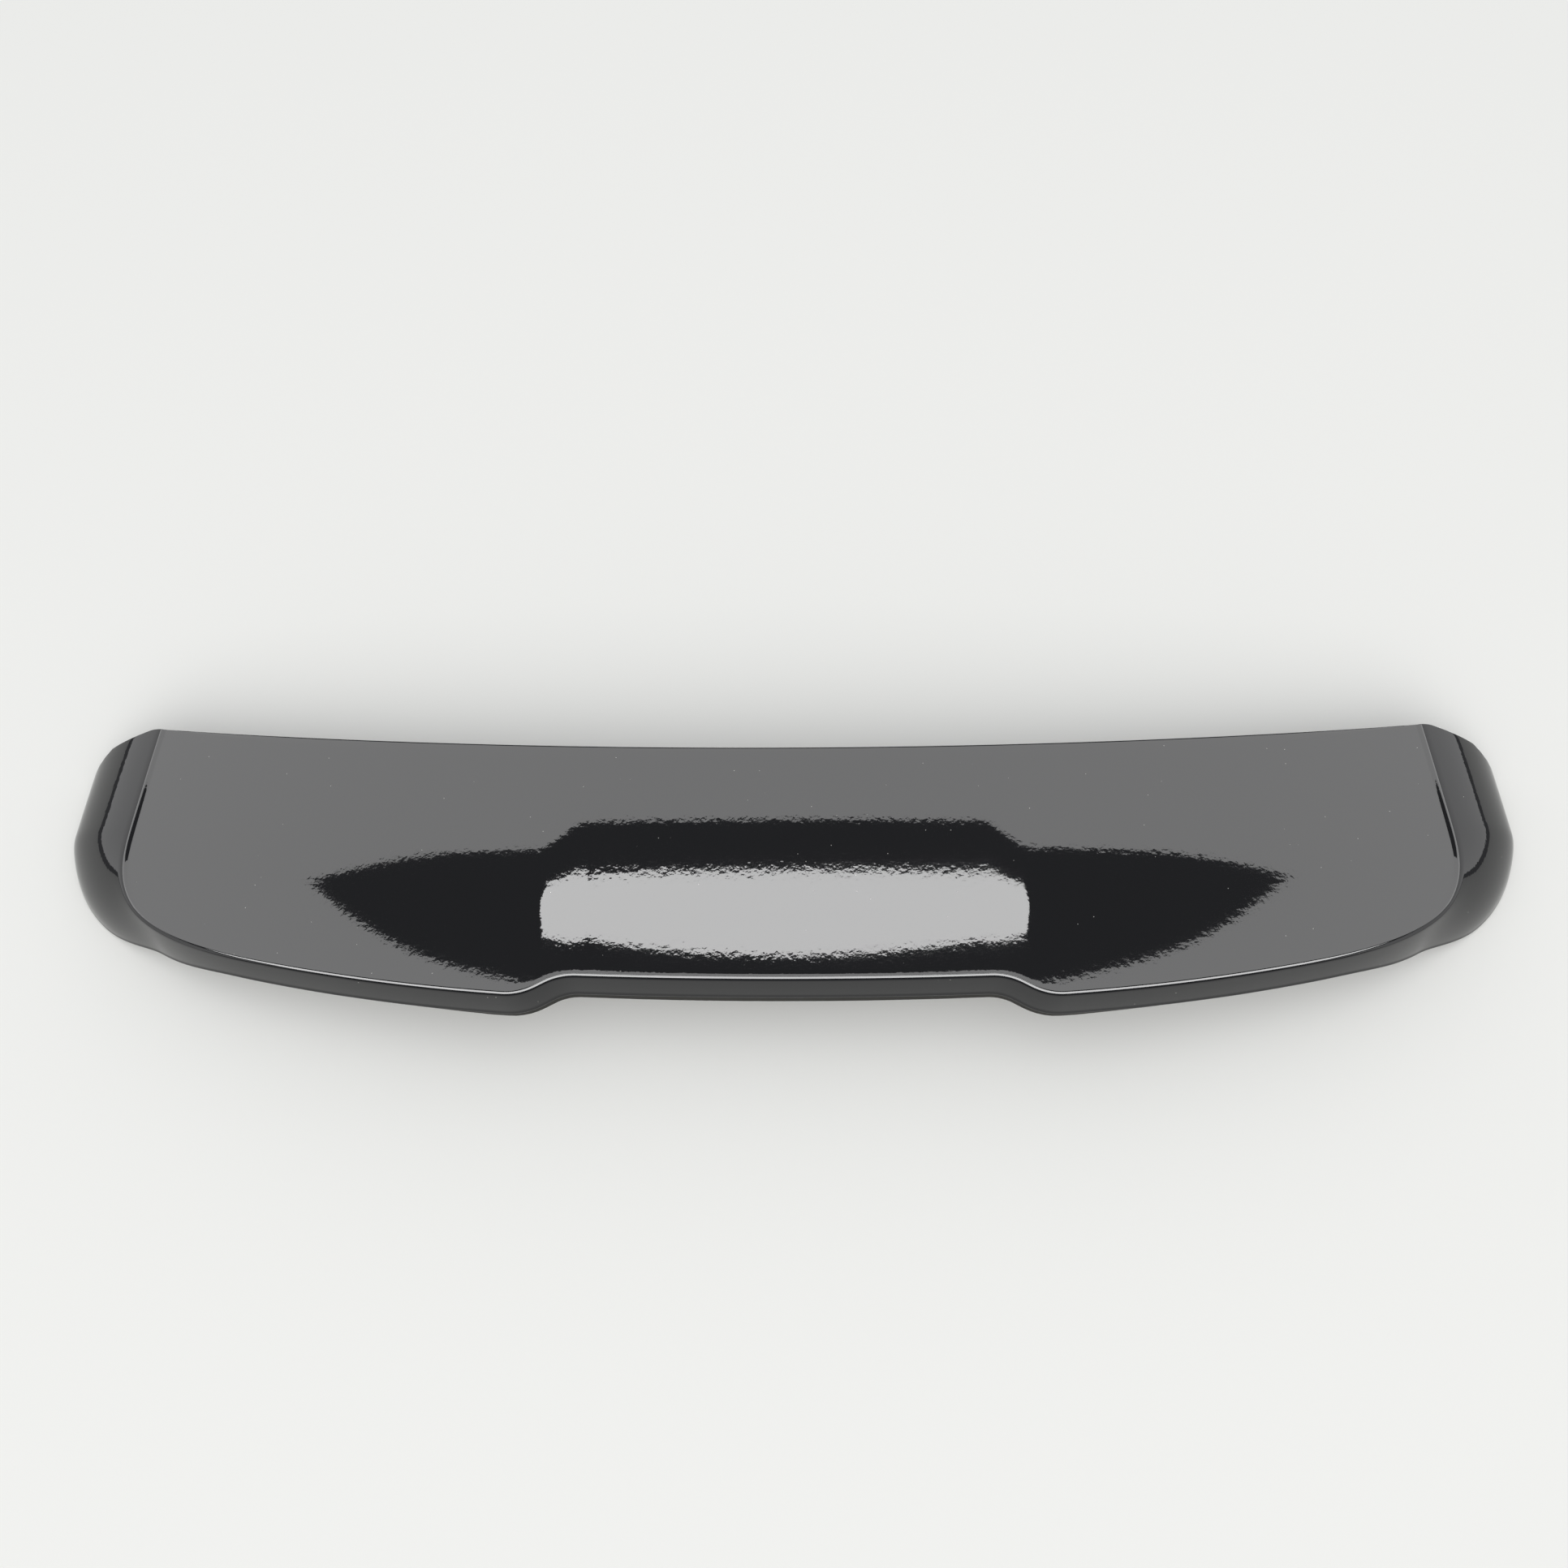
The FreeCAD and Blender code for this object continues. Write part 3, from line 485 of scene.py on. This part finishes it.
shape = bmesh.new()
shape.from_mesh(skin.data)
bmesh.ops.recalc_face_normals(shape, faces=shape.faces)
open_edges = [edge for edge in shape.edges if not edge.is_manifold]
shape.to_mesh(skin.data)
shape.free()
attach(skin, "root")
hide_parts("upper_shell")
print("skin", len(skin.data.polygons), "faces, open edges", len(open_edges))

# %% [markdown]
# ## Tongues
# Four moulded tongues hang under the panel's ends and carry the spring clips. They belong to the skin;
# plain thin plates are all they are.

# %% clip tongues
TONGUE_THICK, TONGUE_WIDE, TONGUE_REACH = 2.4, 16.0, 16.0
TONGUE_X, TONGUE_YS = 484.0, (-13.0, 49.0)
TONGUE_SINK, TONGUE_SHARP = 1.5, 30.0
PLATE_CORNERS = ((-1, -1), (1, -1), (1, 1), (-1, 1))
PLATE_FACES = ((3, 2, 1, 0), (4, 5, 6, 7), (0, 1, 5, 4), (1, 2, 6, 5), (2, 3, 7, 6), (3, 0, 4, 7))
tongue_vertices, tongue_faces = [], []
for side in (-1, 1):
    for tongue_y in TONGUE_YS:
        base = len(tongue_vertices)
        top = float(panel_height(np.array(TONGUE_X), np.array(tongue_y))) - TONGUE_SINK
        for z in (-TONGUE_REACH, top):
            for dx, dy in PLATE_CORNERS:
                x = side * TONGUE_X + dx * TONGUE_THICK / 2
                y = tongue_y + dy * TONGUE_WIDE / 2
                tongue_vertices.append((x / MM, y / MM, z / MM))
        for quad in PLATE_FACES:
            tongue_faces.append(tuple(base + corner for corner in quad))
tongues = new_piece("clip_tongues", tongue_vertices, tongue_faces, TONGUE_SHARP)
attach(tongues, "root")
print("tongues", len(tongues.data.polygons), "faces")

# %% [markdown]
# ## Threaded studs
# Six equal studs hold the spoiler to the tailgate. Each has a rolled thread below its seat, a plain neck,
# a collar and a six-sided head that the tray's boss holds. A screw modifier could turn a profile; here
# the radius of each ring rises and falls along a helix, so the thread can fade out at the tip and at the
# seat.

# %% one stud
PITCH, CREST, ROOT = 1.0, 3.0, 2.55
RINGS_PER_TURN, AROUND = 8, 32
REACH, NECK, SEAT_TOP = 22.0, 0.5, 15.0
TIP_RADIUS, TIP_SLOPE = 2.0, 0.9
COLLAR_RADIUS, COLLAR_HEIGHT = 8.0, 1.6
HEAD_HALF, HEAD_HEIGHT = 5.0, 6.0
STUD_SHARP = 50.0
stud_turn = np.arange(AROUND) / AROUND
stud_angle = stud_turn * 2 * np.pi


def ring(radius, z):
    return row(radius * np.cos(stud_angle), radius * np.sin(stud_angle), np.full(AROUND, z))


def thread_radius(z):
    wave = np.abs(((z / PITCH - stud_turn) % 1.0) * 2.0 - 1.0)
    fade = min(1.0, max(0.0, -z) / PITCH)
    radius = across(CREST, ROOT + (CREST - ROOT) * wave, fade)
    return np.minimum(radius, TIP_RADIUS + (z + REACH) * TIP_SLOPE)


levels = np.linspace(-REACH, 0.0, int(REACH / PITCH * RINGS_PER_TURN) + 1)
stud_rows = [ring(thread_radius(z), z) for z in (*levels, NECK, SEAT_TOP)]
collar = np.full(AROUND, COLLAR_RADIUS)
head = HEAD_HALF / np.cos((stud_angle + np.pi / 6) % (np.pi / 3) - np.pi / 6)
for radius, height in ((collar, 0.0), (collar, COLLAR_HEIGHT), (head, COLLAR_HEIGHT), (head, HEAD_HEIGHT)):
    stud_rows.append(ring(radius, SEAT_TOP + height))
stud_faces = []
for r in range(len(stud_rows) - 1):
    here, there = r * AROUND, (r + 1) * AROUND
    for c in range(AROUND):
        d = (c + 1) % AROUND
        stud_faces.append((here + c, here + d, there + d, there + c))
stud_faces.append(tuple(range(AROUND - 1, -1, -1)))
stud_faces.append(tuple((len(stud_rows) - 1) * AROUND + c for c in range(AROUND)))
one_stud = new_piece("one_stud", np.concatenate(stud_rows) / MM, stud_faces, STUD_SHARP)
print("stud", len(one_stud.data.polygons), "faces")

# %% [markdown]
# ## Zinc plating
# The studs are steel under bright zinc. No real surface is even, so each finish in this lesson is a node
# material with a colour and a roughness that drifts with a noise. One helper makes them all; a picture of
# metal would do too, but it would have to be unwrapped onto every piece.

# %% a finish with a wandering gloss
NOISE_DETAIL = 4.0


def finish(name, base, roughness, spread, scale, metallic=0.0):
    """A principled material whose roughness wanders around a value; returns the material and its nodes."""
    material = bpy.data.materials.new(name)
    material.use_nodes = True
    nodes, links = material.node_tree.nodes, material.node_tree.links
    shader = nodes["Principled BSDF"]
    shader.inputs["Base Color"].default_value = (*base, 1.0)
    shader.inputs["Metallic"].default_value = metallic
    where = nodes.new("ShaderNodeTexCoord")
    noise = nodes.new("ShaderNodeTexNoise")
    noise.inputs["Scale"].default_value = scale
    noise.inputs["Detail"].default_value = NOISE_DETAIL
    links.new(where.outputs["Object"], noise.inputs["Vector"])
    spreader = nodes.new("ShaderNodeMapRange")
    spreader.inputs["To Min"].default_value = roughness - spread
    spreader.inputs["To Max"].default_value = roughness + spread
    links.new(noise.outputs["Fac"], spreader.inputs["Value"])
    links.new(spreader.outputs["Result"], shader.inputs["Roughness"])
    return material, nodes, links, shader, where


zinc = finish("zinc_steel", (0.62, 0.6, 0.54), roughness=0.32, spread=0.08, scale=300.0, metallic=1.0)[0]
print("finish", zinc.name)

# %% [markdown]
# ## Studs on their seats
# Four studs stand in a rectangle and two further out, a little lower. Geometry Nodes sets the one stud on
# points at the seats, because the studs repeat, and gives them their plating. The result is turned into a
# plain mesh.

# %% studs on their seats
MAIN_X, MAIN_Y = 0.19, 0.028
OUTER_X, OUTER_Y, OUTER_Z = 0.39, 0.024, -0.008
seats = [(MAIN_X * sx, MAIN_Y * sy, 0.0) for sx in (-1, 1) for sy in (-1, 1)]
seats += [(OUTER_X * sx, OUTER_Y, OUTER_Z) for sx in (-1, 1)]
seat_mesh = bpy.data.meshes.new("studs")
seat_mesh.from_pydata(seats, [], [])
studs = bpy.data.objects.new("studs", seat_mesh)
bpy.context.scene.collection.objects.link(studs)

tree = bpy.data.node_groups.new("set_on_seats", "GeometryNodeTree")
tree.interface.new_socket("Geometry", in_out="INPUT", socket_type="NodeSocketGeometry")
stud_input = tree.interface.new_socket("Stud", in_out="INPUT", socket_type="NodeSocketObject")
plating_input = tree.interface.new_socket("Plating", in_out="INPUT", socket_type="NodeSocketMaterial")
tree.interface.new_socket("Geometry", in_out="OUTPUT", socket_type="NodeSocketGeometry")
entry = tree.nodes.new("NodeGroupInput")
info = tree.nodes.new("GeometryNodeObjectInfo")
place = tree.nodes.new("GeometryNodeInstanceOnPoints")
real = tree.nodes.new("GeometryNodeRealizeInstances")
plate = tree.nodes.new("GeometryNodeSetMaterial")
leave = tree.nodes.new("NodeGroupOutput")
tree.links.new(entry.outputs["Stud"], info.inputs["Object"])
tree.links.new(entry.outputs["Geometry"], place.inputs["Points"])
tree.links.new(info.outputs["Geometry"], place.inputs["Instance"])
tree.links.new(place.outputs["Instances"], real.inputs["Geometry"])
tree.links.new(real.outputs["Geometry"], plate.inputs["Geometry"])
tree.links.new(entry.outputs["Plating"], plate.inputs["Material"])
tree.links.new(plate.outputs["Geometry"], leave.inputs["Geometry"])

setter = studs.modifiers.new("set_on_seats", "NODES")
setter.node_group = tree
setter[stud_input.identifier] = one_stud
setter[plating_input.identifier] = zinc
bpy.context.view_layer.update()
made = bpy.data.meshes.new_from_object(studs.evaluated_get(bpy.context.evaluated_depsgraph_get()))
made.materials.pop(index=0)  # the empty slot that the bare stud brings along
studs.modifiers.remove(setter)
studs.data = made
bpy.data.objects.remove(one_stud)
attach(studs, "root")
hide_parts("mounting_studs")
print("studs", len(studs.data.polygons), "faces,", [m.name for m in studs.data.materials])

# %% [markdown]
# ## Gloss black
# The skin is black plastic under a clear coat. The base is almost black, so what is seen is reflection,
# softened by a faint orange peel and broken by a few specks of dust. A bump gives the peel, and cells of
# a Voronoi texture give the specks: only the middle of a cell, and only of some cells.

# %% gloss black skin
BLACK, DUST = (0.006, 0.006, 0.007), (0.42, 0.41, 0.38)
SPECK_SCALE, SPECK_RIM, SPECK_CORE, SPECK_RARITY = 160.0, 0.065, 0.04, 0.74


def relief(nodes, links, shader, where, scale, strength, depth, kind="ShaderNodeTexNoise"):
    """Fine relief from a texture."""
    texture = nodes.new(kind)
    texture.inputs["Scale"].default_value = scale
    links.new(where.outputs["Object"], texture.inputs["Vector"])
    bump = nodes.new("ShaderNodeBump")
    bump.inputs["Strength"].default_value = strength
    bump.inputs["Distance"].default_value = depth
    links.new(texture.outputs[0], bump.inputs["Height"])
    links.new(bump.outputs["Normal"], shader.inputs["Normal"])


gloss, *gloss_nodes = finish("gloss_black", BLACK, roughness=0.024, spread=0.012, scale=9.0)
relief(*gloss_nodes, scale=230.0, strength=0.06, depth=0.0003)
nodes, links, shader, where = gloss_nodes
cells = nodes.new("ShaderNodeTexVoronoi")
cells.inputs["Scale"].default_value = SPECK_SCALE
links.new(where.outputs["Object"], cells.inputs["Vector"])
speck = nodes.new("ShaderNodeMapRange")
speck.inputs["From Min"].default_value = SPECK_RIM
speck.inputs["From Max"].default_value = SPECK_CORE
links.new(cells.outputs["Distance"], speck.inputs["Value"])
chosen = nodes.new("ShaderNodeMath")
chosen.operation = "GREATER_THAN"
chosen.inputs[1].default_value = SPECK_RARITY
links.new(cells.outputs["Color"], chosen.inputs[0])
dust = nodes.new("ShaderNodeMath")
dust.operation = "MULTIPLY"
links.new(speck.outputs["Result"], dust.inputs[0])
links.new(chosen.outputs["Value"], dust.inputs[1])
colour = nodes.new("ShaderNodeMix")
colour.data_type = "RGBA"
colour.inputs["A"].default_value = (*BLACK, 1.0)
colour.inputs["B"].default_value = (*DUST, 1.0)
links.new(dust.outputs["Value"], colour.inputs["Factor"])
links.new(colour.outputs["Result"], shader.inputs["Base Color"])
for piece in (skin, tongues):
    piece.data.materials.clear()
    piece.data.materials.append(gloss)
print("painted", skin.name, "and", tongues.name, "with", gloss.name)

# %% [markdown]
# ## The other finishes
# The tray is grained black plastic, the clips are phosphated spring steel, the seals are foam, the pads
# are felt and the adhesive is a dark rubber. All are seen at the edges only, so a colour and a gloss are
# enough, with a relief on the tray, the seals and the pads.

# %% the other finishes
TRAY_SHEEN = 0.3
plastic, *plastic_nodes = finish("tray_black", (0.02, 0.019, 0.016), roughness=0.6, spread=0.08, scale=40.0)
relief(*plastic_nodes, scale=1400.0, strength=0.25, depth=0.0003)
plastic_shader = plastic_nodes[2]
plastic_shader.inputs["Specular IOR Level"].default_value = TRAY_SHEEN
spring = finish("spring_steel", (0.16, 0.16, 0.17), roughness=0.42, spread=0.08, scale=300.0, metallic=1.0)[0]
foam, *foam_nodes = finish("black_foam", (0.03, 0.03, 0.031), roughness=0.9, spread=0.05, scale=200.0)
relief(*foam_nodes, scale=900.0, strength=0.5, depth=0.0006, kind="ShaderNodeTexVoronoi")
felt, *felt_nodes = finish("dark_felt", (0.06, 0.06, 0.062), roughness=0.95, spread=0.04, scale=500.0)
relief(*felt_nodes, scale=2500.0, strength=0.6, depth=0.0005)
glue = finish("black_adhesive", (0.012, 0.012, 0.012), roughness=0.45, spread=0.1, scale=120.0)[0]
PAINT = {
    "lower_shell": plastic,
    "bond_bead": glue,
    "stud_seals": foam,
    "wing_clips": spring,
    "front_seal": foam,
    "wing_pads": felt,
}
for node, material in PAINT.items():
    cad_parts[node].data.materials.clear()
    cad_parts[node].data.materials.append(material)
print("painted", sorted(PAINT))

# %% [markdown]
# ## Floor and room
# The part lies on a pale matt floor. The world is an even room light. For mirrored rays it is dimmer, as
# the far walls of a studio are, so that gloss black stays dark where it mirrors no lamp.

# %% floor and room
FLOOR_SIZE, FLOOR_GAP = 14.0, 0.0005
ROOM_LIGHT, ROOM_MIRRORED = 0.8, 0.24
low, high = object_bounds()
bpy.ops.mesh.primitive_plane_add(size=FLOOR_SIZE, location=(0.0, 0.0, low[2] - FLOOR_GAP))
floor = bpy.context.active_object
floor.name = "floor"
ground, *ground_nodes = finish("pale_floor", (0.91, 0.9, 0.86), roughness=0.6, spread=0.06, scale=3.0)
ground_shader = ground_nodes[2]
ground_shader.inputs["Specular IOR Level"].default_value = 0.0
floor.data.materials.append(ground)

world = bpy.data.worlds.new("studio")
bpy.context.scene.world = world
world.use_nodes = True
nodes, links = world.node_tree.nodes, world.node_tree.links
sky = nodes["Background"]
sky.inputs["Color"].default_value = (0.95, 0.97, 1.0, 1.0)
ray = nodes.new("ShaderNodeLightPath")
mirrored = nodes.new("ShaderNodeMapRange")
mirrored.inputs["To Min"].default_value = ROOM_LIGHT
mirrored.inputs["To Max"].default_value = ROOM_MIRRORED
links.new(ray.outputs["Is Glossy Ray"], mirrored.inputs["Value"])
links.new(mirrored.outputs["Result"], sky.inputs["Strength"])
print("floor at", round(low[2], 4))

# %% [markdown]
# ## Soft boxes
# Gloss black shows only what it mirrors, so the lamps are placed like a photographer's cards. The broad
# box greys the front of the panel, the gap behind it leaves the dark middle, and a narrow box gives the
# bright bar in the dark. A box behind the camera draws the line along the lip, two at the sides model the
# wings, and a far key lamp lights the floor. The glow of two boxes is trimmed to a curve, which a plain
# rectangle can't give.

# %% soft boxes
OVERHEAD, BAR_HEIGHT = 2.24, 2.22


def soft_box(name, stands, aims_at, size, radiance):
    """A rectangular lamp of an even radiance."""
    lamp = bpy.data.lights.new(name, "AREA")
    lamp.shape = "RECTANGLE"
    lamp.size, lamp.size_y = size
    lamp.energy = radiance * math.pi * size[0] * size[1]
    holder = bpy.data.objects.new(name, lamp)
    aim = Vector(aims_at) - Vector(stands)
    holder.rotation_euler = aim.to_track_quat("-Z", "Y").to_euler()
    holder.location = stands
    bpy.context.scene.collection.objects.link(holder)
    return holder


def overhead(name, x, y, z, size, radiance):
    """A soft box that looks straight down."""
    return soft_box(name, (x, y, z), (x, y, 0.0), size, radiance)


broad_box = overhead("broad_box", 0.0, 1.76, OVERHEAD, (6.4, 2.6), 3.6)
narrow_box = overhead("narrow_box", -0.04, 0.525, BAR_HEIGHT, (1.36, 0.13), 12.0)
lip_box = overhead("lip_box", 0.0, -0.5, OVERHEAD, (4.2, 1.4), 14.0)
mirror_boxes = [broad_box, narrow_box, lip_box]
for side in (-1, 1):
    mirror_boxes.append(soft_box("side_box", (side * 2.3, 0.0, 1.0), (0.0, 0.0, 0.5), (3.6, 1.9), 1.3))
for box in mirror_boxes:
    box.visible_diffuse = False
key_box = soft_box("key_box", (0.0, -6.0, 6.0), (0.0, 0.0, 0.0), (6.0, 6.0), 2.0)
key_box.visible_glossy = False
print("soft boxes", [box.name for box in (*mirror_boxes, key_box)])

# %% [markdown]
# The trim reads where on the lamp a ray lands. It keeps the glow within a half depth from the lamp's
# middle, and that half depth eases from one value to another along the lamp.

# %% trimmed glow


def trim(box, start, stop, inner_half, outer_half):
    """Keeps a lamp's glow within a half depth that eases between two distances along the lamp."""
    box.data.use_nodes = True
    nodes, links = box.data.node_tree.nodes, box.data.node_tree.links
    landing = nodes.new("ShaderNodeNewGeometry")
    split = nodes.new("ShaderNodeSeparateXYZ")
    beside = nodes.new("ShaderNodeMath")
    beside.operation = "SUBTRACT"
    beside.inputs[1].default_value = box.location.x
    along = nodes.new("ShaderNodeMath")
    along.operation = "ABSOLUTE"
    limit = nodes.new("ShaderNodeMapRange")
    limit.interpolation_type = "SMOOTHSTEP"
    limit.inputs["From Min"].default_value = start
    limit.inputs["From Max"].default_value = stop
    limit.inputs["To Min"].default_value = inner_half
    limit.inputs["To Max"].default_value = outer_half
    kept = nodes.new("ShaderNodeMath")
    kept.operation = "COMPARE"
    kept.inputs[1].default_value = box.location.y
    links.new(landing.outputs["Position"], split.inputs["Vector"])
    links.new(split.outputs["X"], beside.inputs[0])
    links.new(beside.outputs["Value"], along.inputs[0])
    links.new(along.outputs["Value"], limit.inputs["Value"])
    links.new(split.outputs["Y"], kept.inputs[0])
    links.new(limit.outputs["Result"], kept.inputs[2])
    links.new(kept.outputs["Value"], nodes["Emission"].inputs["Strength"])


trim(broad_box, start=1.05, stop=2.4, inner_half=1.01, outer_half=1.26)
trim(narrow_box, start=0.56, stop=0.69, inner_half=0.066, outer_half=0.01)
print("trimmed", broad_box.name, "and", narrow_box.name)

# %% [markdown]
# ## Camera
# The camera stands where the lip, the ridge lines and the leading edge fall as they do in the photo:
# behind the car, looking down steeply. Its axes are turned one after the other, which keeps each angle
# easy to read.

# %% camera
EYE = (0.02926, -0.46979, 1.16989)
LOOK_DOWN, YAW, ROLL = math.radians(66.0), math.radians(-1.353), math.radians(-0.185)
SENSOR, FOCAL_PIXELS, FRAME_PIXELS = 36.0, 1937.0, 1932.0
FAR_CLIP = 100.0


def turned_axes(first, second, angle):
    """Two axes turned towards each other in their own plane."""
    cosine, sine = math.cos(angle), math.sin(angle)
    return cosine * first + sine * second, -sine * first + cosine * second


back = Vector((0.0, -math.cos(LOOK_DOWN), math.sin(LOOK_DOWN)))
right = Vector((1.0, 0.0, 0.0))
up = back.cross(right)
right, back = turned_axes(right, back, YAW)
right, up = turned_axes(right, up, ROLL)
lens = bpy.data.cameras.new("camera")
lens.sensor_width = SENSOR
lens.lens = SENSOR * FOCAL_PIXELS / FRAME_PIXELS
lens.clip_end = FAR_CLIP
camera = bpy.data.objects.new("camera", lens)
camera.matrix_world = Matrix((
    (right.x, up.x, back.x, EYE[0]),
    (right.y, up.y, back.y, EYE[1]),
    (right.z, up.z, back.z, EYE[2]),
    (0.0, 0.0, 0.0, 1.0),
))
bpy.context.scene.collection.objects.link(camera)
bpy.context.scene.camera = camera
bpy.context.scene.view_settings.view_transform = "Standard"
print("camera at", EYE, "with a lens of", round(lens.lens, 2), "mm")
